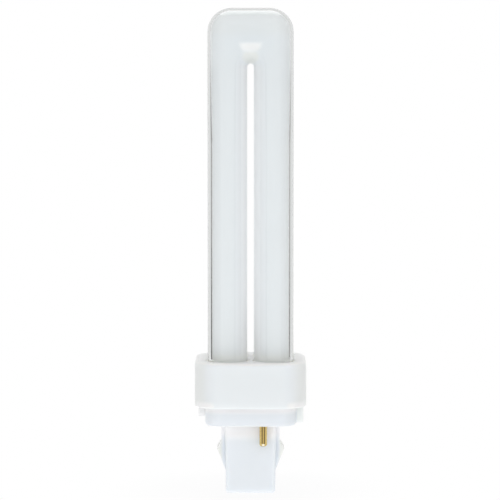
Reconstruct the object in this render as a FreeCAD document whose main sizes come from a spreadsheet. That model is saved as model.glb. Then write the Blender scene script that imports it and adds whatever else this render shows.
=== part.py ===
import FreeCAD, Part
import os

import Sketcher
from FreeCAD import Rotation, Vector

# Two-pin plug-in fluorescent lamp with four legs: two u shaped tubes, one behind the other and bridged.
# Millimetres, +Z up. The origin is the middle of the flat end of the plug post. The front is -Y.

SIZES = {
    # glass
    "overall_length": 153.5,
    "tube_diameter": 12.5,
    "leg_gap": 2.1,
    "bend_corner": 1.25,
    "bend_web": 4.95,
    "leg_below_socket": 0.9,
    "leg_end_round": 3.0,
    "bridge_diameter": 6.0,
    "bridge_height": 9.0,
    "seal_width": 8.0,
    "seal_thickness": 2.4,
    "seal_height": 3.0,
    "seal_root": 1.5,
    "tip_diameter": 3.2,
    "tip_height": 2.2,
    "tip_round": 1.2,
    # housing
    "cap_height": 14.4,
    "cap_margin": 1.0,
    "cap_corner": 8.8,
    "cap_wall": 1.6,
    "cap_top_round": 1.4,
    "cap_rim_round": 0.5,
    "socket_wall": 1.0,
    "socket_depth": 8.0,
    "socket_lip": 0.35,
    "cement_film": 0.45,
    "cement_play": 0.03,
    "cement_recess": 0.3,
    # plug
    "flange_height": 6.05,
    "flange_corner": 5.0,
    "flange_round": 1.1,
    "flange_wall": 1.2,
    "flange_floor": 2.0,
    "plate_thickness": 2.0,
    "plate_play": 0.15,
    "key_length": 2.4,
    "key_width": 4.2,
    "key_place": 7.5,
    "key_height": 5.2,
    "key_root": 1.0,
    "key_round": 0.5,
    "post_length": 21.95,
    "post_width": 16.1,
    "post_corner": 1.3,
    "post_draft": 0.5,
    "post_end_round": 1.0,
    "post_wall": 1.5,
    "post_floor": 1.5,
    "latch_width": 9.0,
    "latch_root": 1.0,
    "rib_step": 1.25,
    "rib_height": 6.05,
    "nose_step": 1.4,
    "nose_peak": 8.25,
    "nose_end": 15.25,
    "nose_sink": 0.2,
    # pins
    "pin_diameter": 2.4,
    "pin_length": 6.5,
    "pin_circle": 24.0,
    "pin_offset": 4.0,
    "pin_bore": 1.2,
    "pin_tip_round": 0.7,
    "pin_shank_diameter": 2.8,
    "pin_collar_diameter": 3.3,
    "pin_collar_height": 0.8,
    "pin_play": 0.04,
    "pin_margin": 0.14,
    "pin_space": 1.66,
    # starter, capacitor and leads
    "starter_diameter": 9.0,
    "starter_headroom": 1.5,
    "starter_round": 2.5,
    "pinch_width": 6.0,
    "pinch_thickness": 2.4,
    "pinch_height": 2.5,
    "pinch_root": 1.0,
    "capacitor_length": 9.0,
    "capacitor_width": 4.0,
    "capacitor_height": 3.2,
    "capacitor_play": 0.7,
    "capacitor_round": 0.8,
    "wire_diameter": 0.5,
    "wire_bend": 1.0,
    "wire_play": 0.1,
    "seal_wire_pitch": 5.0,
    "starter_wire_pitch": 3.0,
    "pin_wire_depth": 2.0,
    "capacitor_wire_height": 0.8,
}

# Places worked out from the sizes, written as formulas of the sheet.
LEG_X = "(dims.tube_diameter + dims.leg_gap) / 2"
TUBE_R = "dims.tube_diameter / 2"
SOCKET_D = "(dims.tube_diameter + 2 * dims.cement_film)"
PIN_X = "dims.pin_offset"
PIN_Y = "sqrt((dims.pin_circle / 2) ^ 2 - dims.pin_offset ^ 2)"
COLLAR_R = f"({SOCKET_D} / 2 + dims.socket_wall)"
CAP_WIDTH = f"(2 * ({LEG_X} + {COLLAR_R} + dims.cap_margin + dims.cap_wall))"
WELL_WIDTH = f"(2 * ({PIN_Y} + dims.pin_collar_diameter / 2 + dims.pin_margin))"
FLANGE_WIDTH = f"({WELL_WIDTH} + 2 * dims.flange_wall)"
POST_DEPTH = f"(2 * ({PIN_Y} - dims.pin_diameter / 2 - dims.pin_space))"
FLANGE_Z = "dims.post_length"
CAP_Z = f"({FLANGE_Z} + dims.flange_height)"
CAP_TOP = f"({CAP_Z} + dims.cap_height)"
FLOOR_Z = f"({FLANGE_Z} + dims.flange_floor)"
LEG_END = f"({CAP_TOP} - dims.socket_depth - dims.leg_below_socket)"
SEAL_END = f"({LEG_END} - dims.seal_height)"
BEND_AXIS = f"(dims.overall_length - {TUBE_R})"
CORNER_Z = f"({BEND_AXIS} - dims.bend_corner)"
SLOT_Z = f"({BEND_AXIS} - dims.bend_web - {LEG_X})"
STARTER_TOP = f"({FLOOR_Z} - dims.starter_headroom)"
PINCH_TOP = f"({STARTER_TOP} + dims.pinch_height)"
WIRE_LEVEL = f"(({SEAL_END} + {PINCH_TOP}) / 2)"
CAPACITOR_INNER = f"({WELL_WIDTH} / 2 - dims.capacitor_play - dims.capacitor_width)"

# How near an edge lies to where it is looked for.
CLOSE = 1e-3

os.makedirs("parts", exist_ok=True)
doc = FreeCAD.newDocument("plug_in_lamp")
sheet = doc.addObject("Spreadsheet::Sheet", "dims")
for row, (alias, size) in enumerate(SIZES.items(), start=1):
    sheet.set(f"A{row}", alias)
    sheet.set(f"B{row}", str(size))
    sheet.setAlias(f"B{row}", alias)
doc.recompute()


def number(formula):
    """The value of a formula of the sheet."""
    return float(sheet.evalExpression(formula))


def new_body(name):
    body = doc.addObject("PartDesign::Body", name)
    body.Label = name
    return body


def new_sketch(body, plane, **offsets):
    """A sketch on one of the body's own origin planes, moved there by formulas for x, y or z."""
    sketch = body.newObject("Sketcher::SketchObject", f"{body.Name}_outline")
    support = next(p for p in body.Origin.OriginFeatures if p.Role == plane)
    sketch.AttachmentSupport = [(support, "")]
    sketch.MapMode = "FlatFace"
    for axis, formula in offsets.items():
        sketch.setExpression(f"AttachmentOffset.Base.{axis}", formula)
    return sketch


def drive(sketch, kind, *where, formula):
    """A measured constraint bound to a formula."""
    index = sketch.addConstraint(Sketcher.Constraint(kind, *where, number(formula)))
    sketch.setExpression(f"Constraints[{index}]", formula)


def join(sketch, *links):
    """Joins ends of pieces of an outline: each link is (piece, end, piece, end)."""
    for link in links:
        sketch.addConstraint(Sketcher.Constraint("Coincident", *link))


def rectangle(body, width, depth, **offsets):
    """A rectangle about the middle of its sketch."""
    sketch = new_sketch(body, "XY_Plane", **offsets)
    x = number(width) / 2
    y = number(depth) / 2
    corners = [Vector(-x, -y, 0), Vector(x, -y, 0), Vector(x, y, 0), Vector(-x, y, 0)]
    for start, end in zip(corners, corners[1:] + corners[:1]):
        sketch.addGeometry(Part.LineSegment(start, end))
    join(sketch, (0, 2, 1, 1), (1, 2, 2, 1), (2, 2, 3, 1), (3, 2, 0, 1))
    for kind, piece in (("Horizontal", 0), ("Vertical", 1), ("Horizontal", 2), ("Vertical", 3)):
        sketch.addConstraint(Sketcher.Constraint(kind, piece))
    sketch.addConstraint(Sketcher.Constraint("Symmetric", 0, 1, 2, 1, -1, 1))
    drive(sketch, "DistanceX", 0, 1, 0, 2, formula=width)
    drive(sketch, "DistanceY", 1, 1, 1, 2, formula=depth)
    return sketch


def rounded_rectangle(body, width, depth, radius, **offsets):
    """A rectangle about the middle of its sketch, with an arc at each corner."""
    sketch = new_sketch(body, "XY_Plane", **offsets)
    r = number(radius)
    x = number(width) / 2 - r
    y = number(depth) / 2 - r
    centres = [Vector(x, -y, 0), Vector(x, y, 0), Vector(-x, y, 0), Vector(-x, -y, 0)]
    arcs = []
    for centre, first in zip(centres, (-90, 0, 90, 180)):
        arcs.append(Part.Arc(*(centre + r * direction(first + turn) for turn in (0, 45, 90))))
    for corner, arc in enumerate(arcs):
        sketch.addGeometry(Part.LineSegment(arcs[corner - 1].EndPoint, arc.StartPoint))
        sketch.addGeometry(arc)
    for corner in range(4):
        side = 2 * corner
        sketch.addConstraint(Sketcher.Constraint("Tangent", side, 2, side + 1, 1))
        sketch.addConstraint(Sketcher.Constraint("Tangent", side + 1, 2, (side + 2) % 8, 1))
        sketch.addConstraint(Sketcher.Constraint("Vertical" if corner % 2 else "Horizontal", side))
    for corner in (1, 2, 3):
        sketch.addConstraint(Sketcher.Constraint("Equal", 1, 2 * corner + 1))
    sketch.addConstraint(Sketcher.Constraint("Symmetric", 1, 3, 5, 3, -1, 1))
    drive(sketch, "Radius", 1, formula=radius)
    drive(sketch, "DistanceX", 7, 3, 1, 3, formula=f"{width} - 2 * ({radius})")
    drive(sketch, "DistanceY", 1, 3, 3, 3, formula=f"{depth} - 2 * ({radius})")
    return sketch


def circle(body, diameter, **offsets):
    """A circle about the middle of its sketch."""
    sketch = new_sketch(body, "XY_Plane", **offsets)
    sketch.addGeometry(Part.Circle(Vector(0, 0, 0), Vector(0, 0, 1), number(diameter) / 2))
    join(sketch, (0, 3, -1, 1))
    drive(sketch, "Diameter", 0, formula=diameter)
    return sketch


def half_disc(body, radius, side, plane="XY_Plane", centre="0", **offsets):
    """A half disc centred on the sketch's own x axis; side is the direction its round faces, in degrees."""
    sketch = new_sketch(body, plane, **offsets)
    r = number(radius)
    middle = Vector(number(centre), 0, 0)
    arc = Part.Arc(*(middle + r * direction(side + turn) for turn in (-90, 0, 90)))
    sketch.addGeometry(arc)
    sketch.addGeometry(Part.LineSegment(arc.EndPoint, arc.StartPoint))
    join(sketch, (0, 2, 1, 1), (1, 2, 0, 1))
    sketch.addConstraint(Sketcher.Constraint("PointOnObject", 0, 3, -1))
    sketch.addConstraint(Sketcher.Constraint("PointOnObject", 0, 3, 1))
    sketch.addConstraint(Sketcher.Constraint("Horizontal" if side % 180 else "Vertical", 1))
    drive(sketch, "DistanceX", -1, 1, 0, 3, formula=centre)
    drive(sketch, "Radius", 0, formula=radius)
    return sketch


def direction(degrees):
    return Rotation(Vector(0, 0, 1), degrees).multVec(Vector(1, 0, 0))


def outline(body, plane, points, **offsets):
    """A closed outline of straight runs whose corners are pairs of formulas."""
    sketch = new_sketch(body, plane, **offsets)
    corners = [Vector(number(x), number(y), 0) for x, y in points]
    for start, end in zip(corners, corners[1:] + corners[:1]):
        sketch.addGeometry(Part.LineSegment(start, end))
    for piece, (x, y) in enumerate(points):
        join(sketch, ((piece - 1) % len(points), 2, piece, 1))
        drive(sketch, "DistanceX", -1, 1, piece, 1, formula=x)
        drive(sketch, "DistanceY", -1, 1, piece, 1, formula=y)
    return sketch


def pad(body, sketch, length, down=False, both_ways=False, taper=None):
    feature = body.newObject("PartDesign::Pad", f"{body.Name}_pad")
    feature.Profile = sketch
    feature.setExpression("Length", length)
    feature.Reversed = down
    if both_ways:
        feature.SideType = "Symmetric"
    if taper:
        feature.setExpression("TaperAngle", taper)
    return feature


def pocket(body, sketch, depth):
    """Cuts downwards from the sketch."""
    feature = body.newObject("PartDesign::Pocket", f"{body.Name}_pocket")
    feature.Profile = sketch
    feature.setExpression("Length", depth)
    return feature


def revolve(body, sketch, angle, backwards=False):
    """Turns the sketch about its own vertical axis."""
    feature = body.newObject("PartDesign::Revolution", f"{body.Name}_turned")
    feature.Profile = sketch
    feature.ReferenceAxis = (sketch, ["V_Axis"])
    feature.Angle = angle
    feature.Reversed = backwards
    return feature


def round_edges(body, radius, chosen, kind="Fillet"):
    """Rounds or bevels the edges of the body so far for which chosen(edge) is true."""
    doc.recompute()
    base = body.Tip
    names = [f"Edge{i}" for i, edge in enumerate(base.Shape.Edges, start=1) if chosen(edge)]
    if not names:
        raise RuntimeError(f"{body.Name}: no edge to round")
    feature = body.newObject(f"PartDesign::{kind}", f"{body.Name}_{kind.lower()}")
    feature.Base = (base, names)
    feature.setExpression("Radius" if kind == "Fillet" else "Size", radius)
    return feature


def around(body, feature, count):
    """Repeats a feature about the vertical axis of the body."""
    pattern = body.newObject("PartDesign::PolarPattern", f"{body.Name}_pattern")
    pattern.Originals = [feature]
    axis = next(a for a in body.Origin.OriginFeatures if a.Role == "Z_Axis")
    pattern.Axis = (axis, [""])
    pattern.Angle = 360
    pattern.Occurrences = count
    body.Tip = pattern
    return pattern


def upright(edge):
    """True for an edge that rises nearly straight up."""
    box = edge.BoundBox
    return box.ZLength > 4 * max(box.XLength, box.YLength)


def level(formula):
    """A test for edges that lie at one height."""
    z = number(formula)
    return lambda edge: abs(edge.BoundBox.ZMin - z) < CLOSE and abs(edge.BoundBox.ZMax - z) < CLOSE


def mirrored(source, normal, name):
    copy = doc.addObject("Part::Mirroring", name)
    copy.Source = source
    copy.Normal = normal
    return copy


def discharge_tube():
    """The sealed glass: each u is a round tube with a squared bend, filled to a web above the slot."""
    quarter = new_body("tube_quarter")
    quarter.setExpression("Placement.Base.y", f"-{LEG_X}")
    leg = circle(quarter, "dims.tube_diameter", x=LEG_X, z=SLOT_Z)
    pad(quarter, leg, f"{SLOT_Z} - {LEG_END}", down=True)
    round_edges(quarter, "dims.leg_end_round", level(LEG_END))
    side = half_disc(quarter, TUBE_R, 0, x=LEG_X, z=SLOT_Z)
    pad(quarter, side, f"{CORNER_Z} - {SLOT_Z}")
    corner = half_disc(quarter, TUBE_R, 0, centre="dims.bend_corner",
                       x=f"{LEG_X} - dims.bend_corner", z=CORNER_Z)
    revolve(quarter, corner, 90, backwards=True)
    crown = half_disc(quarter, TUBE_R, 90, plane="YZ_Plane", y=BEND_AXIS)
    pad(quarter, crown, f"{LEG_X} - dims.bend_corner")
    crotch = half_disc(quarter, TUBE_R, 180, centre=LEG_X, z=SLOT_Z)
    revolve(quarter, crotch, 90, backwards=True)
    pad(quarter, web_outline(quarter), "dims.tube_diameter", both_ways=True)

    half = doc.addObject("Part::MultiFuse", "front_u")
    half.Shapes = [quarter, mirrored(quarter, Vector(1, 0, 0), "left_quarter")]
    bridge = doc.addObject("Part::Cylinder", "bridge")
    bridge.setExpression("Radius", "dims.bridge_diameter / 2")
    bridge.setExpression("Height", f"2 * {LEG_X}")
    bridge.Placement.Rotation = Rotation(Vector(1, 0, 0), -90)
    bridge.setExpression("Placement.Base.x", LEG_X)
    bridge.setExpression("Placement.Base.y", f"-{LEG_X}")
    bridge.setExpression("Placement.Base.z", f"{CAP_TOP} + dims.bridge_height")
    ends = [press_seal(), exhaust_tip()]
    ends += [mirrored(end, Vector(0, 1, 0), f"rear_{end.Name}") for end in ends]
    glass = doc.addObject("Part::MultiFuse", "discharge_tube")
    glass.Shapes = [half, mirrored(half, Vector(0, 1, 0), "rear_u"), bridge] + ends
    glass.Refine = True
    return glass


def web_outline(body):
    """The flat of the bend, between the line of the crown and the round over the slot."""
    sketch = new_sketch(body, "XZ_Plane")
    reach = number(LEG_X)
    bend = number("dims.bend_corner")
    top = number(BEND_AXIS)
    slot = number(SLOT_Z)
    turn = Vector(reach - bend, top - bend, 0)
    over = Part.Arc(*(Vector(0, slot, 0) + reach * direction(a) for a in (0, 45, 90)))
    outside = Part.Arc(*(turn + bend * direction(a) for a in (0, 45, 90)))
    sketch.addGeometry(Part.LineSegment(Vector(0, top, 0), Vector(reach - bend, top, 0)))
    sketch.addGeometry(outside)
    sketch.addGeometry(Part.LineSegment(Vector(reach, top - bend, 0), Vector(reach, slot, 0)))
    sketch.addGeometry(over)
    sketch.addGeometry(Part.LineSegment(Vector(0, slot + reach, 0), Vector(0, top, 0)))
    join(sketch, (2, 2, 3, 1), (3, 2, 4, 1), (4, 2, 0, 1))
    sketch.addConstraint(Sketcher.Constraint("Tangent", 0, 2, 1, 2))
    sketch.addConstraint(Sketcher.Constraint("Tangent", 1, 1, 2, 1))
    sketch.addConstraint(Sketcher.Constraint("Horizontal", 0))
    sketch.addConstraint(Sketcher.Constraint("Vertical", 2))
    sketch.addConstraint(Sketcher.Constraint("PointOnObject", 4, 2, -2))
    sketch.addConstraint(Sketcher.Constraint("PointOnObject", 3, 3, -2))
    sketch.addConstraint(Sketcher.Constraint("Vertical", 4))
    drive(sketch, "Radius", 1, formula="dims.bend_corner")
    drive(sketch, "Radius", 3, formula=LEG_X)
    drive(sketch, "DistanceY", -1, 1, 3, 3, formula=SLOT_Z)
    drive(sketch, "DistanceY", -1, 1, 2, 2, formula=SLOT_Z)
    drive(sketch, "DistanceY", -1, 1, 0, 1, formula=BEND_AXIS)
    return sketch


def press_seal():
    """The flat pinched end of a leg that holds an electrode, on the left at the front."""
    body = new_body("press_seal")
    face = rectangle(body, "dims.seal_width", "dims.seal_thickness",
                     x=f"-{LEG_X}", y=f"-{LEG_X}", z=SEAL_END)
    pad(body, face, "dims.seal_height + dims.seal_root")
    return body


def exhaust_tip():
    """The sealed-off nipple on the end of a leg that has no electrode, on the right at the front."""
    body = new_body("exhaust_tip")
    face = circle(body, "dims.tip_diameter", x=LEG_X, y=f"-{LEG_X}", z=f"{LEG_END} - dims.tip_height")
    pad(body, face, "dims.tip_height + dims.seal_root")
    round_edges(body, "dims.tip_round", level(f"{LEG_END} - dims.tip_height"))
    return body


def tube_housing():
    """The square cap: a moulded shell with four open sockets under its top."""
    body = new_body("tube_housing")
    square = rounded_rectangle(body, CAP_WIDTH, CAP_WIDTH, "dims.cap_corner", z=CAP_Z)
    pad(body, square, "dims.cap_height")
    doc.recompute()
    block = body.Tip
    bottom = min(range(len(block.Shape.Faces)), key=lambda i: block.Shape.Faces[i].CenterOfMass.z)
    shell = body.newObject("PartDesign::Thickness", "tube_housing_shell")
    shell.Base = (block, [f"Face{bottom + 1}"])
    shell.setExpression("Value", "dims.cap_wall")
    shell.Reversed = True
    socket = circle(body, f"2 * {COLLAR_R}", x=LEG_X, y=f"-{LEG_X}", z=f"{CAP_TOP} - dims.cap_wall")
    collar = pad(body, socket, "dims.socket_depth - dims.cap_wall", down=True)
    around(body, collar, 4)
    bore = circle(body, SOCKET_D, x=LEG_X, y=f"-{LEG_X}", z=CAP_TOP)
    around(body, pocket(body, bore, "dims.socket_depth"), 4)
    top = level(CAP_TOP)
    rim = level(CAP_Z)
    side = number(f"{CAP_WIDTH} / 2")

    def outermost(edge):
        box = edge.BoundBox
        return max(-box.XMin, box.XMax, -box.YMin, box.YMax) > side - CLOSE

    round_edges(body, "dims.cap_top_round", lambda edge: top(edge) and outermost(edge))
    round_edges(body, "dims.cap_rim_round", lambda edge: rim(edge) and outermost(edge))
    round_edges(body, "dims.socket_lip", lambda edge: top(edge) and edge.isClosed(), kind="Chamfer")
    return body


def basing_cement():
    """Four rings of cement between the legs and their sockets."""
    rings = []
    for x, y in ((1, 1), (-1, 1), (-1, -1), (1, -1)):
        outside = doc.addObject("Part::Cylinder", "cement_outside")
        outside.setExpression("Radius", f"{SOCKET_D} / 2 - dims.cement_play")
        inside = doc.addObject("Part::Cylinder", "cement_inside")
        inside.setExpression("Radius", f"{TUBE_R} + dims.cement_play")
        for cylinder in (outside, inside):
            cylinder.setExpression("Height", "dims.socket_depth - dims.cement_recess")
            cylinder.setExpression("Placement.Base.x", f"{x} * {LEG_X}")
            cylinder.setExpression("Placement.Base.y", f"{y} * {LEG_X}")
            cylinder.setExpression("Placement.Base.z", f"{CAP_TOP} - dims.socket_depth")
        ring = doc.addObject("Part::Cut", "cement_ring")
        ring.Base = outside
        ring.Tool = inside
        rings.append(ring)
    cement = doc.addObject("Part::Compound", "basing_cement")
    cement.Links = rings
    return cement


def base_plug():
    """The lower moulding: closing plate, flange, key stubs and hollow post with a latch nose on each side."""
    body = new_body("base_plug")
    flange = rounded_rectangle(body, FLANGE_WIDTH, FLANGE_WIDTH, "dims.flange_corner", z=FLANGE_Z)
    pad(body, flange, "dims.flange_height")
    round_edges(body, "dims.flange_round", level(FLANGE_Z))
    plate_width = f"({CAP_WIDTH} - 2 * dims.cap_wall - 2 * dims.plate_play)"
    plate_corner = "dims.cap_corner - dims.cap_wall - dims.plate_play"
    plate = rounded_rectangle(body, plate_width, plate_width, plate_corner, z=CAP_Z)
    pad(body, plate, "dims.plate_thickness")
    key_x = f"{FLANGE_WIDTH} / 2 + (dims.key_length - dims.key_root) / 2"
    key = rectangle(body, "dims.key_length + dims.key_root", "dims.key_width",
                    x=key_x, y="-dims.key_place", z=CAP_Z)
    around(body, pad(body, key, "dims.key_height", down=True), 2)
    key_tip = number(f"{FLANGE_WIDTH} / 2 + dims.key_length")
    round_edges(body, "dims.key_round",
                lambda edge: upright(edge) and abs(abs(edge.BoundBox.XMax) - key_tip) < CLOSE)
    post = rounded_rectangle(body, "dims.post_width", POST_DEPTH, "dims.post_corner", z=FLANGE_Z)
    pad(body, post, "dims.post_length", down=True, taper="-dims.post_draft")
    round_edges(body, "dims.post_end_round", level("0"))
    root = "(dims.post_width / 2 - dims.latch_root)"
    rib = "(dims.post_width / 2 + dims.rib_step)"
    latch = outline(body, "XZ_Plane", [
        (root, FLANGE_Z),
        (rib, FLANGE_Z),
        (rib, f"{FLANGE_Z} - dims.rib_height"),
        (f"{rib} + dims.nose_step", f"{FLANGE_Z} - dims.nose_peak"),
        ("dims.post_width / 2 - dims.nose_sink", f"{FLANGE_Z} - dims.nose_end"),
        (root, f"{FLANGE_Z} - dims.nose_end"),
    ])
    around(body, pad(body, latch, "dims.latch_width", both_ways=True), 2)
    plate_top = f"{CAP_Z} + dims.plate_thickness"
    well_corner = "dims.flange_corner - dims.flange_wall"
    well = rounded_rectangle(body, WELL_WIDTH, WELL_WIDTH, well_corner, z=plate_top)
    pocket(body, well, f"{plate_top} - {FLOOR_Z}")
    hollow = rectangle(body, "dims.post_width - 2 * dims.post_wall", f"{POST_DEPTH} - 2 * dims.post_wall",
                       z=FLOOR_Z)
    pocket(body, hollow, f"{FLOOR_Z} - dims.post_floor")
    hole = circle(body, "dims.pin_shank_diameter + 2 * dims.pin_play", x=PIN_X, y=f"-{PIN_Y}", z=FLOOR_Z)
    around(body, pocket(body, hole, "dims.flange_floor"), 2)
    return body


def contact_pin(name, side):
    """A hollow pin with a wider shank in the flange and a collar on its floor; side is -1 at the rear."""
    body = new_body(name)
    body.setExpression("Placement.Base.x", f"{side} * {PIN_X}")
    body.setExpression("Placement.Base.y", f"-({side}) * {PIN_Y}")
    body.setExpression("Placement.Base.z", FLANGE_Z)
    pad(body, circle(body, "dims.pin_diameter"), "dims.pin_length", down=True)
    round_edges(body, "dims.pin_tip_round", level("-dims.pin_length"))
    pad(body, circle(body, "dims.pin_shank_diameter"), "dims.flange_floor")
    pad(body, circle(body, "dims.pin_collar_diameter", z="dims.flange_floor"), "dims.pin_collar_height")
    top = "dims.flange_floor + dims.pin_collar_height"
    pocket(body, circle(body, "dims.pin_bore", z=top), f"{top} + dims.pin_length - dims.pin_tip_round")
    return body


def glow_starter():
    """The sealed glass bottle of the starter, standing on the floor of the post, with a flat pinch on top."""
    body = new_body("glow_starter")
    bottle = circle(body, "dims.starter_diameter", z="dims.post_floor")
    pad(body, bottle, f"{STARTER_TOP} - dims.post_floor")
    foot = level("dims.post_floor")
    shoulder = level(STARTER_TOP)
    round_edges(body, "dims.starter_round", lambda edge: foot(edge) or shoulder(edge))
    pinch = rectangle(body, "dims.pinch_thickness", "dims.pinch_width", z=f"{STARTER_TOP} - dims.pinch_root")
    pad(body, pinch, "dims.pinch_height + dims.pinch_root")
    return body


def capacitor():
    """The small moulded capacitor that lies on the flange's floor, to the right of the post."""
    body = new_body("capacitor")
    case = rectangle(body, "dims.capacitor_width", "dims.capacitor_length",
                     x=f"{CAPACITOR_INNER} + dims.capacitor_width / 2", z=FLOOR_Z)
    pad(body, case, "dims.capacitor_height")
    top = level(f"{FLOOR_Z} + dims.capacitor_height")
    round_edges(body, "dims.capacitor_round", lambda edge: upright(edge) or top(edge))
    return body


def capacitor_leads():
    """Two straight wires from the capacitor to the wires on the starter."""
    wires = []
    for side in (1, -1):
        wire = doc.addObject("Part::Cylinder", "capacitor_wire")
        start = "(dims.wire_diameter / 2 + dims.wire_play)"
        wire.setExpression("Radius", "dims.wire_diameter / 2")
        wire.setExpression("Height", f"{CAPACITOR_INNER} - {start}")
        wire.Placement.Rotation = Rotation(Vector(0, 1, 0), 90)
        wire.setExpression("Placement.Base.x", start)
        wire.setExpression("Placement.Base.y", f"{side} * dims.starter_wire_pitch / 2")
        wire.setExpression("Placement.Base.z", f"{PINCH_TOP} + dims.capacitor_wire_height")
        wires.append(wire)
    leads = doc.addObject("Part::Compound", "capacitor_leads")
    leads.Links = wires
    return leads


def lead(name, start, end, end_z):
    """A wire down from a press seal, level, and down to its end; start and end are (x, y) formulas."""
    body = new_body(name)
    run_x = f"(({end[0]}) - ({start[0]}))"
    run_y = f"(({end[1]}) - ({start[1]}))"
    run = f"sqrt({run_x} ^ 2 + {run_y} ^ 2)"
    body.setExpression("Placement.Base.x", start[0])
    body.setExpression("Placement.Base.y", start[1])
    body.setExpression("Placement.Rotation.Angle", f"atan2({run_y}; {run_x})")
    path = new_sketch(body, "XZ_Plane")
    bend = number("dims.wire_bend")
    length = number(run)
    high = number(SEAL_END)
    low = number(WIRE_LEVEL)
    down = Vector(bend, low + bend, 0)
    across = Vector(length - bend, low - bend, 0)
    path.addGeometry(Part.LineSegment(Vector(0, high, 0), Vector(0, low + bend, 0)))
    path.addGeometry(Part.Arc(*(down + bend * direction(a) for a in (180, 225, 270))))
    path.addGeometry(Part.LineSegment(Vector(bend, low, 0), Vector(length - bend, low, 0)))
    path.addGeometry(Part.Arc(*(across + bend * direction(a) for a in (0, 45, 90))))
    path.addGeometry(Part.LineSegment(Vector(length, low - bend, 0), Vector(length, number(end_z), 0)))
    for link in ((0, 2, 1, 1), (1, 2, 2, 1), (2, 2, 3, 2), (3, 1, 4, 1)):
        path.addConstraint(Sketcher.Constraint("Tangent", *link))
    path.addConstraint(Sketcher.Constraint("PointOnObject", 0, 1, -2))
    path.addConstraint(Sketcher.Constraint("Vertical", 0))
    path.addConstraint(Sketcher.Constraint("Horizontal", 2))
    path.addConstraint(Sketcher.Constraint("Vertical", 4))
    drive(path, "Radius", 1, formula="dims.wire_bend")
    drive(path, "Radius", 3, formula="dims.wire_bend")
    drive(path, "DistanceY", -1, 1, 0, 1, formula=SEAL_END)
    drive(path, "DistanceY", -1, 1, 2, 1, formula=WIRE_LEVEL)
    drive(path, "DistanceY", -1, 1, 4, 2, formula=end_z)
    drive(path, "DistanceX", -1, 1, 4, 2, formula=run)
    section = circle(body, "dims.wire_diameter", z=SEAL_END)
    wire = body.newObject("PartDesign::AdditivePipe", f"{name}_wire")
    wire.Profile = section
    wire.Spine = (path, [f"Edge{i + 1}" for i in range(5)])
    return body


def electrode_leads():
    """Four wires: of each electrode's two, one goes to its pin and the other to the starter."""
    leads = []
    for name, side, pin_x in (("front", -1, PIN_X), ("rear", 1, f"-{PIN_X}")):
        seal_y = f"{side} * {LEG_X}"
        near = f"-{LEG_X} + dims.seal_wire_pitch / 2"
        far = f"-{LEG_X} - dims.seal_wire_pitch / 2"
        pin_bottom = f"{FLOOR_Z} + dims.pin_collar_height - dims.pin_wire_depth"
        leads.append(lead(f"{name}_pin_lead", (near, seal_y), (pin_x, f"{side} * {PIN_Y}"), pin_bottom))
        starter_y = f"{side} * dims.starter_wire_pitch / 2"
        leads.append(lead(f"{name}_starter_lead", (far, seal_y), ("0", starter_y), PINCH_TOP))
    return leads


subparts = [
    discharge_tube(),
    tube_housing(),
    basing_cement(),
    base_plug(),
    contact_pin("contact_pin_front", 1),
    contact_pin("contact_pin_rear", -1),
    glow_starter(),
    capacitor(),
    capacitor_leads(),
] + electrode_leads()
doc.recompute()

for item in doc.Objects:
    if {"Invalid", "Error"} & set(item.State):
        raise RuntimeError(f"{item.Name} did not build: {item.State}")
for subpart in subparts:
    shape = subpart.Shape
    if shape.isNull() or not shape.isValid():
        raise RuntimeError(f"{subpart.Label} has no valid shape")
    print(f"{subpart.Label}: {len(shape.Solids)} solid, {shape.Volume:.1f} mm3")
    shape.exportStep(f"parts/{subpart.Label}.step")
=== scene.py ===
import math

import bmesh
import bpy
from mathutils import Matrix, Vector


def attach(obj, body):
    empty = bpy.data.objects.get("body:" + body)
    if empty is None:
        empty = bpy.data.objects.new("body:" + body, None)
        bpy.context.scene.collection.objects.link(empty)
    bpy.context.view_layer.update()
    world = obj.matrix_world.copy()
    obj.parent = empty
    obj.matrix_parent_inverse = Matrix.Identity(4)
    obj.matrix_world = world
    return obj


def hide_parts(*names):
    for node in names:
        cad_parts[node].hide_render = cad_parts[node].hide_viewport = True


# White plug-in lamp on a white table, seen from the front at about its own height.
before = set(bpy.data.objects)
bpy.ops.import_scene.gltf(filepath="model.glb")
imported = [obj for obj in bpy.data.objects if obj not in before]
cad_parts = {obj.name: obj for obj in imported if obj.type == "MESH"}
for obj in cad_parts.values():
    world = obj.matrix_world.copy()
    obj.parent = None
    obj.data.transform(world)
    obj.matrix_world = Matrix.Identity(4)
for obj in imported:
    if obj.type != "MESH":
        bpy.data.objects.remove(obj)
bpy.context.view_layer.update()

MM = 0.001

# The lamp's places, in millimetres, as the solids have them
LEG_X = 7.3
GLASS_R = 6.25
LEG_END = 33.5
LEG_END_ROUND = 3.0
SLOT_Z = 135.0
CORNER_Z = 146.0
BEND_CORNER = 1.25
CROWN_X = LEG_X - BEND_CORNER
BRIDGE_Z = 51.4
BRIDGE_R = 3.0
CAP_TOP = 42.4
PIN_X = 4.0

# The flat seals under the left legs and the sealed-off tips under the right ones
SEAL_SIZE = (8.0, 2.4, 4.5)
SEAL_DROP = 3.0
SEAL_EDGE = 0.35
TIP_R = 1.6
TIP_LENGTH = 3.7
TIP_DROP = 2.2
TIP_ROUND = 1.2

# Glass wall, thinner where the bend was blown out, and the gap behind it
LEG_WALL = 1.3
BEND_WALL = 0.8
BRIDGE_WALL = 1.0
THINNING = 24.0
SMALLEST_ROUND = 1.0
COAT_GAP = 0.05
# The powder's u is this much narrower, so that it touches the glass on both sides of the slot
COAT_LEAN = 0.1

# How fine the round shapes are
LEG_SIDES = 64
BRIDGE_SIDES = 48
TIP_SIDES = 32
CORNER_STEPS = 10
CROTCH_STEPS = 24
THINNING_STEPS = 12
END_STEPS = 8
SEAL_STEPS = 2
TIP_STEPS = 6

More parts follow.
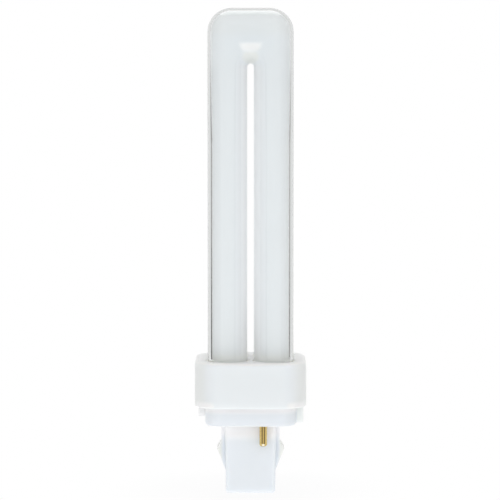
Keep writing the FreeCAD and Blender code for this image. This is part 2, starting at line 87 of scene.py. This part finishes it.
# Heights of the rings on a leg's straight part, and how far the last is above its rounded end
LEG_RINGS = (80.0, 60.0, 45.0)
RING_LEAD = 0.5

# Points as near as this are one
SAME_PLACE = 1e-4

# How far light spreads in the powder and in the plastics
POWDER_REACH = 20.0
CAP_REACH = 2.0
PLUG_REACH = 1.5


# Finishes as sums and products of values

class Value:
    """A number in a finish's nodes. Python's operators on it add Math nodes."""

    def __init__(self, finish, socket):
        self.finish = finish
        self.socket = socket

    def maths(self, operation, *values):
        node = self.finish.node("Math", {"operation": operation}, dict(enumerate(values)))
        return Value(self.finish, node.outputs[0])

    def __add__(self, other):
        return self.maths("ADD", self, other)

    def __sub__(self, other):
        return self.maths("SUBTRACT", self, other)

    def __mul__(self, other):
        return self.maths("MULTIPLY", self, other)

    def __truediv__(self, other):
        return self.maths("DIVIDE", self, other)

    def __rsub__(self, other):
        return self.maths("SUBTRACT", other, self)

    def __abs__(self):
        return self.maths("ABSOLUTE", self)

    __radd__ = __add__
    __rmul__ = __mul__

    def rise(self, low, high):
        """0 below low and 1 above high, with a soft rise between."""
        node = self.finish.node(
            "MapRange",
            {"interpolation_type": "SMOOTHSTEP"},
            {"Value": self, "From Min": low, "From Max": high},
        )
        return Value(self.finish, node.outputs[0])

    def fall(self, low, high):
        """1 below low and 0 above high, with a soft fall between."""
        return 1 - self.rise(low, high)


class Finish:
    """A material, or the world, whose nodes are added by one method."""

    def __init__(self, owner):
        owner.use_nodes = True
        self.owner = owner
        self.tree = owner.node_tree

    def fill(self, socket, value):
        """Links a value or an output to a socket, or sets the socket to a number or colour."""
        if isinstance(value, Value):
            self.tree.links.new(value.socket, socket)
        elif isinstance(value, bpy.types.NodeSocket):
            self.tree.links.new(value, socket)
        else:
            socket.default_value = value

    def node(self, kind, settings=None, sockets=None):
        made = self.tree.nodes.new("ShaderNode" + kind)
        for setting, value in (settings or {}).items():
            setattr(made, setting, value)
        for name, value in (sockets or {}).items():
            self.fill(made.inputs[name], value)
        return made

    def value(self, kind, output, settings=None, sockets=None):
        return Value(self, self.node(kind, settings, sockets).outputs[output])

    def place(self):
        """The place on the piece."""
        return self.node("TexCoord").outputs["Object"]

    def along(self, vector):
        """The x, y and z of a place or a direction."""
        split = self.node("SeparateXYZ", sockets={"Vector": vector})
        return [Value(self, split.outputs[axis]) for axis in "XYZ"]

    def millimetres(self, where):
        """The x, y and z of a place, in millimetres."""
        return [length / MM for length in self.along(where)]

    def looks(self):
        """Whether the camera looks, or a mirrored ray, or one through glass, as 0 or 1 each."""
        path = self.node("LightPath")
        kinds = ("Camera", "Glossy", "Transmission")
        return [Value(self, path.outputs[f"Is {kind} Ray"]) for kind in kinds]

    def mixed(self, factor, first, second):
        """A colour between two, by a factor."""
        node = self.node(
            "Mix",
            {"data_type": "RGBA"},
            {"Factor": factor, 6: first, 7: second},
        )
        return node.outputs[2]

    def tinted(self, colour, tints):
        """A colour with tints laid over it one after the other, each a factor and a colour."""
        for factor, tint in tints:
            colour = self.mixed(factor, colour, tint)
        return colour

    def grain(self, where, scale, detail=2.0):
        return self.value(
            "TexNoise", "Fac", sockets={"Vector": where, "Scale": scale, "Detail": detail}
        )

    def bump(self, height, strength, distance):
        return self.node(
            "Bump", sockets={"Height": height, "Strength": strength, "Distance": distance}
        ).outputs[0]

    def shine(self, **sockets):
        """Sets or links sockets of the material's own shader."""
        shader = self.tree.nodes["Principled BSDF"]
        for name, value in sockets.items():
            self.fill(shader.inputs[name.replace("_", " ")], value)


def new_finish(name):
    return Finish(bpy.data.materials.new(name))


# Glass tube

def linked(name, data):
    """A mesh, lamp or camera made into an object of the scene."""
    thing = bpy.data.objects.new(name, data)
    bpy.context.scene.collection.objects.link(thing)
    return thing


def clean_mesh(name, bm):
    """A bmesh in millimetres made into a piece in metres."""
    bmesh.ops.scale(bm, vec=(MM, MM, MM), verts=bm.verts)
    mesh = bpy.data.meshes.new(name)
    bm.to_mesh(mesh)
    bm.free()
    return linked(name, mesh)


def open_edges(bm):
    return [edge for edge in bm.edges if edge.is_boundary]


def grow(bm, edges, matrix):
    """Extrudes a row of edges and moves the new row by a matrix."""
    made = bmesh.ops.extrude_edge_only(bm, edges=edges)["geom"]
    verts = [item for item in made if isinstance(item, bmesh.types.BMVert)]
    bmesh.ops.transform(bm, matrix=matrix, verts=verts)
    return [item for item in made if isinstance(item, bmesh.types.BMEdge)]


def turned(bm, edges, centre, angle, steps):
    """Spins a row of edges about a line along Y, and gives the last row."""
    made = bmesh.ops.spin(
        bm,
        geom=edges + list({vert for edge in edges for vert in edge.verts}),
        cent=centre,
        axis=(0, 1, 0),
        angle=angle,
        steps=steps,
        use_merge=False,
    )["geom_last"]
    return [item for item in made if isinstance(item, bmesh.types.BMEdge)]


def sized(leg_x, radius, new_radius, rise):
    """Moves a ring on the right leg's axis by rise and gives it a new radius."""
    axis = Matrix.Translation((leg_x, 0, 0))
    share = new_radius / radius
    shape = axis @ Matrix.Diagonal((share, share, 1, 1)) @ axis.inverted()
    return Matrix.Translation((0, 0, rise)) @ shape


def u_skin(leg_x, bend_r, rings):
    """One closed u about y = 0: a squared bend with a flat web, on legs of rings of (z, radius)."""
    bm = bmesh.new()
    start = Matrix.Translation((leg_x, 0, SLOT_Z))
    bmesh.ops.create_circle(bm, segments=LEG_SIDES, radius=bend_r, matrix=start)
    ring = bm.edges[:]
    outer = [edge for edge in ring if sum(vert.co.x for vert in edge.verts) > 2 * leg_x]
    inner = [edge for edge in ring if edge not in outer]
    row = ring
    z = SLOT_Z
    radius = bend_r
    for new_z, new_radius in rings:
        row = grow(bm, row, sized(leg_x, radius, new_radius, new_z - z))
        z = new_z
        radius = new_radius
    bmesh.ops.contextual_create(bm, geom=row)
    side = grow(bm, outer, Matrix.Translation((0, 0, CORNER_Z - SLOT_Z)))
    corner = turned(bm, side, (CROWN_X, 0, CORNER_Z), -math.pi / 2, CORNER_STEPS)
    grow(bm, corner, Matrix.Translation((-CROWN_X, 0, 0)))
    turned(bm, inner, (0, 0, SLOT_Z), -math.pi / 2, CROTCH_STEPS)
    half = bm.verts[:] + bm.edges[:] + bm.faces[:]
    bmesh.ops.mirror(bm, geom=half, merge_dist=SAME_PLACE, axis="X")
    bmesh.ops.remove_doubles(bm, verts=bm.verts, dist=SAME_PLACE)
    bmesh.ops.holes_fill(bm, edges=open_edges(bm), sides=0)
    bmesh.ops.recalc_face_normals(bm, faces=bm.faces)
    for face in bm.faces:
        face.smooth = len(face.verts) == 4
    return bm


def wall_at(z):
    """The glass wall's thickness at a height."""
    share = min(max((SLOT_Z - z) / THINNING, 0.0), 1.0)
    return BEND_WALL + (LEG_WALL - BEND_WALL) * share


def leg_rings(inset):
    """Rings down a leg, set in from the outside by a function of height, with a rounded end."""
    rings = []
    for step in range(1, THINNING_STEPS + 1):
        z = SLOT_Z - step * THINNING / THINNING_STEPS
        rings.append((z, GLASS_R - inset(z)))
    depth = inset(LEG_END)
    end = LEG_END + depth
    radius = GLASS_R - depth
    round_r = max(LEG_END_ROUND - depth, SMALLEST_ROUND)
    for z in LEG_RINGS + (end + round_r + RING_LEAD, end + round_r):
        rings.append((z, radius))
    for step in range(1, END_STEPS + 1):
        angle = step * math.pi / (2 * END_STEPS)
        rings.append((end + round_r * (1 - math.sin(angle)), radius - round_r * (1 - math.cos(angle))))
    return rings


def softened(bm, edges, width, segments):
    """Rounds edges off."""
    bmesh.ops.bevel(
        bm, geom=edges, offset=width, segments=segments, profile=0.5, affect="EDGES", material=-1
    )


def press_seal(y):
    """The flat seal under a left leg."""
    bm = bmesh.new()
    middle = (-LEG_X, y, LEG_END - SEAL_DROP + SEAL_SIZE[2] / 2)
    bmesh.ops.create_cube(bm, size=1.0)
    bmesh.ops.scale(bm, vec=SEAL_SIZE, verts=bm.verts)
    bmesh.ops.translate(bm, vec=middle, verts=bm.verts)
    softened(bm, bm.edges[:], SEAL_EDGE, SEAL_STEPS)
    return clean_mesh("press_seal", bm)


def round_bar(bm, sides, radius, length, matrix):
    """A closed cylinder about its middle."""
    bmesh.ops.create_cone(
        bm,
        cap_ends=True,
        segments=sides,
        radius1=radius,
        radius2=radius,
        depth=length,
        matrix=matrix,
    )


def exhaust_tip(y):
    """The sealed-off tip under a right leg."""
    bm = bmesh.new()
    middle = LEG_END - TIP_DROP + TIP_LENGTH / 2
    round_bar(bm, TIP_SIDES, TIP_R, TIP_LENGTH, Matrix.Translation((LEG_X, y, middle)))
    low = [edge for edge in bm.edges if all(vert.co.z < middle for vert in edge.verts)]
    softened(bm, low, TIP_ROUND, TIP_STEPS)
    return clean_mesh("exhaust_tip", bm)


def leg_ends():
    """A flat press seal under each left leg and a sealed-off tip under each right one."""
    ends = []
    for y in (-LEG_X, LEG_X):
        ends += [press_seal(y), exhaust_tip(y)]
    return ends


def bridged_u(name, inset, bend_inset, bridge_r, ends=(), lean=0.0):
    """Both u skins and the bridge between their right legs, as one closed skin."""
    parts = []
    for place in (-LEG_X, LEG_X):
        bm = u_skin(LEG_X - lean, GLASS_R - bend_inset, leg_rings(inset))
        bmesh.ops.translate(bm, vec=(0, place, 0), verts=bm.verts)
        parts.append(clean_mesh(name, bm))
    bm = bmesh.new()
    across = Matrix.Translation((LEG_X, 0, BRIDGE_Z)) @ Matrix.Rotation(math.pi / 2, 4, "X")
    round_bar(bm, BRIDGE_SIDES, bridge_r, 2 * LEG_X, across)
    parts.append(clean_mesh(name + "_bridge", bm))
    parts += ends
    whole = parts[0]
    for other in parts[1:]:
        join = whole.modifiers.new("join", "BOOLEAN")
        join.operation = "UNION"
        join.object = other
    shaped = whole.evaluated_get(bpy.context.evaluated_depsgraph_get())
    joined = bpy.data.meshes.new_from_object(shaped)
    for part in parts:
        bpy.data.objects.remove(part)
    return joined


def tube_glass():
    """The glass: an outer skin and, turned inside out, the skin of its hollow."""
    outside = bridged_u("outer_skin", lambda z: 0.0, 0.0, BRIDGE_R, leg_ends())
    inside = bridged_u("inner_skin", wall_at, BEND_WALL, BRIDGE_R - BRIDGE_WALL)
    bm = bmesh.new()
    bm.from_mesh(inside)
    bmesh.ops.reverse_faces(bm, faces=bm.faces)
    bm.from_mesh(outside)
    mesh = bpy.data.meshes.new("glass_tube")
    bm.to_mesh(mesh)
    bm.free()
    return linked("glass_tube", mesh)


def powder_coating():
    """The white powder on the inside of the glass, which touches it only towards the slot."""
    mesh = bridged_u(
        "powder_coating",
        lambda z: wall_at(z) + COAT_GAP,
        BEND_WALL + COAT_GAP,
        BRIDGE_R - BRIDGE_WALL - COAT_GAP,
        lean=COAT_LEAN,
    )
    return linked("powder_coating", mesh)


# Finishes of the pieces. Ranges are in millimetres, and a tint is a factor and a colour

def glass_finish():
    finish = new_finish("clear_glass")
    cloud = finish.grain(finish.place(), 120.0)
    colour = finish.mixed(cloud, (0.975, 0.99, 0.985, 1), (0.965, 0.98, 0.975, 1))
    finish.shine(Base_Color=colour, Transmission_Weight=1.0, Roughness=0.0, IOR=1.5)
    return finish.owner


def painted_highlight_patch(x, z):
    """A painted highlight over the u's slot: whiter powder in a patch that widens upwards."""
    half_width = 2.9 + (z - 140.0) * 0.42
    return (half_width - abs(x)).rise(-0.6, 1.6) * z.fall(141.6, 143.4) * z.rise(139.2, 141.2)


def warm_crotch_patch(x, z):
    """A warmer, yellow-grey round patch between the painted highlight and the slot."""
    off_x = x / 3.4
    off_z = (z - 138.2) / 2.6
    return (off_x * off_x + off_z * off_z).fall(0.2, 1.0)


def powder_finish():
    finish = new_finish("white_powder")
    where = finish.place()
    x, y, z = finish.millimetres(where)
    cloud = finish.grain(where, 90.0, 3.0)
    # Painted light: whiter powder between the two u's and along the sides of the slot, which lie in
    # shade.
    between = abs(y).fall(2.0, 8.0)
    slot = abs(x).fall(1.5, 5.8) * z.fall(SLOT_Z - 1.0, SLOT_Z + 4.0)
    # Painted highlight: whiter powder over the slot, with a glossy coat on it.
    highlight = painted_highlight_patch(x, z)
    # Painted shade: greyer powder along the top of the bend.
    crown = z.rise(CORNER_Z - 2.5, CORNER_Z + 1.0)
    # Painted light: paler, warmer powder just above the cap, where the legs stand in shade.
    foot = z.fall(CAP_TOP + 0.2, CAP_TOP + 3.6)
    tints = (
        (cloud * 0.5, (0.715, 0.755, 0.79, 1)),
        ((between + 0.55 * slot).rise(0.0, 1.0), (0.93, 0.94, 0.95, 1)),
        (warm_crotch_patch(x, z) * 0.6, (0.79, 0.80, 0.74, 1)),
        (highlight, (0.95, 0.975, 1.0, 1)),
        (crown * 0.5, (0.72, 0.745, 0.75, 1)),
        (foot * 0.35, (0.95, 0.96, 0.88, 1)),
    )
    finish.shine(
        Base_Color=finish.tinted((0.745, 0.785, 0.82, 1), tints),
        Roughness=0.9,
        Specular_IOR_Level=0.1,
        Coat_Weight=highlight,
        Coat_Roughness=0.3,
        Subsurface_Weight=1.0,
        Subsurface_Radius=(1, 1, 1),
        Subsurface_Scale=POWDER_REACH * MM,
    )
    return finish.owner


def cap_painted_light_and_shade(x, y, z):
    """Painted shade on the greener sides, painted light on the paler top and palest between the legs,
    and a painted highlight low on the corners.
    """
    # Painted shade: greener, darker sides.
    sides = abs(x).rise(11.0, 16.5)
    # Painted light: a paler top, palest between the legs, where they shade it.
    top = z.rise(CAP_TOP - 1.0, CAP_TOP - 0.1)
    middle = abs(x).fall(2.0, 5.0)
    # Painted highlight: palest low on the cap's four corners, where glints fall.
    corner = (abs(x) + abs(y)).rise(28.2, 29.8)
    low = z.fall(29.0, 30.6)
    return (
        (0.85 * sides, (0.85, 0.87, 0.845, 1)),
        (top, (0.93, 0.93, 0.90, 1)),
        (top * middle, (1.0, 1.0, 0.98, 1)),
        (corner * low, (0.98, 1.0, 1.0, 1)),
    )


def plug_painted_light_and_shade(x, y, z):
    """Painted light where the flange and the post begin, painted shade on a greyer rim and warmer,
    darker noses, and the keys painted in light and shade, the left one whiter than the right.
    """
    # Painted light: paler where the post and the flange top lie in shade.
    post_top = z.rise(16.0, 19.5) * z.fall(22.5, 23.5)
    flange_top = z.rise(25.5, 27.2)
    # Painted shade: a greyer band on the flange's lower rim.
    flange_rim = z.rise(22.0, 22.3) * z.fall(22.6, 23.8)
    # Painted shade: warmer, darker noses.
    noses = abs(x).rise(8.5, 9.8) * z.fall(16.5, 18.0)
    # Painted light and shade: the left key whiter and the right key greyer.
    left_key = (0 - x).rise(14.4, 14.7)
    right_key = x.rise(14.4, 14.7)
    return (
        (post_top + flange_top, (0.95, 0.96, 1.0, 1)),
        (flange_rim, (0.77, 0.80, 0.84, 1)),
        (noses, (0.84, 0.85, 0.81, 1)),
        (left_key, (0.93, 0.93, 0.92, 1)),
        (right_key, (0.85, 0.88, 0.87, 1)),
    )


def plastic_finish(name, colour, shade, tints, reach):
    """Moulded plastic, which light enters as far as reach, in millimetres."""
    finish = new_finish(name)
    where = finish.place()
    x, y, z = finish.millimetres(where)
    cloud = finish.grain(where, 60.0)
    fine = finish.grain(where, 4000.0)
    clouded = finish.mixed(cloud * 0.4, colour, shade)
    finish.shine(
        Base_Color=finish.tinted(clouded, tints(x, y, z)),
        Roughness=0.38 + 0.08 * cloud,
        IOR=1.5,
        Subsurface_Weight=1.0,
        Subsurface_Radius=(1, 1, 1),
        Subsurface_Scale=reach * MM,
        Normal=finish.bump(fine, 0.05, 0.02 * MM),
    )
    return finish.owner


def brass_finish():
    """Brass with painted dark reflections as two brown stripes down each pin, a brown edge of painted
    shade and a painted highlight on its tip.
    """
    finish = new_finish("drawn_brass")
    where = finish.place()
    x, _, z = finish.millimetres(where)
    fine = finish.grain(where, 900.0)
    # Painted reflections: two dark brown stripes down each pin.
    off = abs(abs(x) - PIN_X)
    dark_reflections = off.rise(0.1, 0.25) * off.fall(0.4, 0.6) * z.rise(16.2, 16.5)
    # Painted shade: a brown edge round the tip.
    edge = 0.7 * z.fall(15.5, 15.7)
    # Painted highlight: a bright patch on the rounded tip.
    tip_glint = off.fall(0.2, 0.6) * z.rise(15.6, 15.8) * z.fall(16.2, 16.4)
    tints = (
        (fine * 0.5, (0.60, 0.45, 0.16, 1)),
        (dark_reflections + edge, (0.14, 0.085, 0.03, 1)),
        (tip_glint, (1.0, 0.94, 0.76, 1)),
    )
    finish.shine(
        Base_Color=finish.tinted((0.72, 0.55, 0.22, 1), tints),
        Metallic=1.0,
        Roughness=0.16 + 0.1 * fine,
    )
    return finish.owner


def plain_finish(name, colour, shade, roughness, metallic=0.0):
    finish = new_finish(name)
    cloud = finish.grain(finish.place(), 500.0, 3.0)
    finish.shine(
        Base_Color=finish.mixed(cloud, colour, shade),
        Roughness=roughness + 0.1 * cloud,
        Metallic=metallic,
    )
    return finish.owner


def dress(material, *names):
    """Gives CAD nodes their finish."""
    for name in names:
        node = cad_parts[name]
        node.data.materials.clear()
        node.data.materials.append(material)


def dress_glass():
    glass = tube_glass()
    glass.data.materials.append(glass_finish())
    coating = powder_coating()
    coating.data.materials.append(powder_finish())
    for piece in (glass, coating):
        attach(piece, "root")
    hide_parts("discharge_tube")
    glass.visible_shadow = False
    glass.visible_diffuse = False


def dress_solids():
    cap = plastic_finish(
        "cap_plastic", (0.85, 0.895, 0.95, 1), (0.83, 0.875, 0.93, 1), cap_painted_light_and_shade, CAP_REACH
    )
    plug = plastic_finish(
        "plug_plastic", (0.82, 0.86, 0.905, 1), (0.80, 0.84, 0.885, 1), plug_painted_light_and_shade, PLUG_REACH
    )
    cement = plain_finish("cement", (0.97, 0.96, 0.84, 1), (0.93, 0.91, 0.78, 1), 0.85)
    bottle = plain_finish("starter_glass", (0.74, 0.78, 0.78, 1), (0.6, 0.64, 0.64, 1), 0.1)
    resin = plain_finish("capacitor_case", (0.62, 0.34, 0.1, 1), (0.5, 0.26, 0.07, 1), 0.4)
    wire = plain_finish("lead_wire", (0.6, 0.58, 0.54, 1), (0.5, 0.48, 0.44, 1), 0.3, 1.0)
    dress(cap, "tube_housing")
    dress(plug, "base_plug")
    dress(cement, "basing_cement")
    dress(brass_finish(), "contact_pin_front", "contact_pin_rear")
    dress(bottle, "glow_starter")
    dress(resin, "capacitor")
    dress(wire, "capacitor_leads")
    dress(wire, "front_pin_lead", "front_starter_lead", "rear_pin_lead", "rear_starter_lead")


# Table, light and camera

# The table, in millimetres, and how far from its middle it shows the lamp's shadow
TABLE_R = 220.0
TABLE_SIDES = 96
SHADOW_REACH = (12.0, 50.0)

# How bright the table glows where it is seen and where it only lights the lamp
TABLE_GLOW = 1.0
TABLE_LIGHT = 1.4

# How much of the table's white is that glow: where it lights, where the lamp stands, and further out
LIGHTING_SHARE = 0.5
NEAR_SHARE = 0.9
FAR_SHARE = 1.0

# From where to where each part of a direction, of 1, counts as towards a side of the room,
# high, sideways, below level, and not too steep
TOWARDS = (-0.1, 0.9)
HIGH = (0.3, 0.8)
SIDEWAYS = (0.68, 0.78)
BELOW_LEVEL = (-0.12, 0.0)
NOT_STEEP = (-0.26, -0.14)

# How bright the room is on each side, and through the glass
FROM_FRONT = 1.0
FROM_BACK = 1.2
FROM_ABOVE = 0.27
FROM_LEFT = 0.1
FROM_RIGHT = 0.08
THROUGH_GLASS = 0.74

# What the room loses high at the back, in mirrored rays, and on its right side through the glass
HIGH_BACK_LOSS = 0.58
MIRRORED_LOSS = 0.25
RIGHT_LOSS = 0.75

# How much of the loss at the sides is left where a look through the glass is steep
STEEP_SHARE = 0.35

# One wide soft light over the table, behind the lamp: its place, aim and size in metres, and its watts
TOP_PLACE = (0, 0.30, 0.9)
TOP_AIM = (0, 0, 0.15)
TOP_WIDTH = 0.9
TOP_DEPTH = 0.56
TOP_POWER = 1.3

# The camera, in millimetres and degrees
EYE = (-0.18, -977.2, 152.3)
PITCH_DOWN = 4.42
LENS = 221.98
SENSOR = 36.0
NEAREST = 50.0
FARTHEST = 20000.0


def table():
    """A white disc that shows the lamp's shadow, and further out only white."""
    bm = bmesh.new()
    bmesh.ops.create_circle(bm, cap_ends=True, segments=TABLE_SIDES, radius=TABLE_R)
    floor = clean_mesh("table", bm)
    finish = new_finish("white_table")
    reach = finish.value("VectorMath", "Value", {"operation": "LENGTH"}, {0: finish.place()}) / MM
    camera, gloss, clear = finish.looks()
    shown = (camera + gloss + clear).rise(0.0, 1.0)
    glow = TABLE_GLOW * shown + TABLE_LIGHT * (1 - shown)
    seen_share = NEAR_SHARE + (FAR_SHARE - NEAR_SHARE) * reach.rise(*SHADOW_REACH)
    share = LIGHTING_SHARE + shown * (seen_share - LIGHTING_SHARE)
    finish.shine(Base_Color=(0.9, 0.9, 0.9, 1), Roughness=0.8, Specular_IOR_Level=0.0)
    white = finish.node("Emission", sockets={"Color": (1, 1, 1, 1), "Strength": glow})
    matt = finish.tree.nodes["Principled BSDF"]
    mix = finish.node("MixShader", sockets={0: share, 1: matt.outputs[0], 2: white.outputs[0]})
    finish.fill(finish.tree.nodes["Material Output"].inputs["Surface"], mix.outputs[0])
    floor.data.materials.append(finish.owner)


def room():
    """White all round, with the room's dim sides where clear glass looks past the table."""
    world = bpy.data.worlds.new("studio")
    bpy.context.scene.world = world
    finish = Finish(world)
    x, y, z = finish.along(finish.node("TexCoord").outputs["Generated"])
    camera, gloss, clear = finish.looks()
    lit = (
        FROM_FRONT * (0 - y).rise(*TOWARDS)
        + FROM_BACK * y.rise(*TOWARDS) * (1 - HIGH_BACK_LOSS * z.rise(*HIGH))
        + FROM_ABOVE * z.rise(*TOWARDS)
        + FROM_LEFT * (0 - x).rise(*TOWARDS)
        + FROM_RIGHT * x.rise(*TOWARDS)
    )
    sides = (0 - x).rise(*SIDEWAYS) + RIGHT_LOSS * x.rise(*SIDEWAYS)
    low = z.fall(*BELOW_LEVEL) * (STEEP_SHARE + (1 - STEEP_SHARE) * z.rise(*NOT_STEEP))
    past = THROUGH_GLASS * (1 - sides * low)
    level = camera + clear * past + (1 - camera - clear) * lit * (1 - MIRRORED_LOSS * gloss)
    background = finish.tree.nodes["Background"]
    finish.fill(background.inputs["Color"], (1, 1, 1, 1))
    finish.fill(background.inputs["Strength"], level)


def top_light():
    light = bpy.data.lights.new("top_light", "AREA")
    light.shape = "RECTANGLE"
    light.size = TOP_WIDTH
    light.size_y = TOP_DEPTH
    light.energy = TOP_POWER
    lamp = linked("top_light", light)
    lamp.location = TOP_PLACE
    lamp.rotation_euler = (Vector(TOP_AIM) - Vector(TOP_PLACE)).to_track_quat("-Z", "Y").to_euler()
    lamp.visible_camera = False


def viewpoint():
    camera = bpy.data.cameras.new("camera")
    camera.sensor_width = SENSOR
    camera.lens = LENS
    camera.clip_start = NEAREST * MM
    camera.clip_end = FARTHEST * MM
    eye = linked("camera", camera)
    eye.location = [length * MM for length in EYE]
    eye.rotation_euler = (math.radians(90 - PITCH_DOWN), 0, 0)
    bpy.context.scene.camera = eye


dress_glass()
dress_solids()
table()
room()
top_light()
viewpoint()
bpy.context.scene.view_settings.view_transform = "Standard"
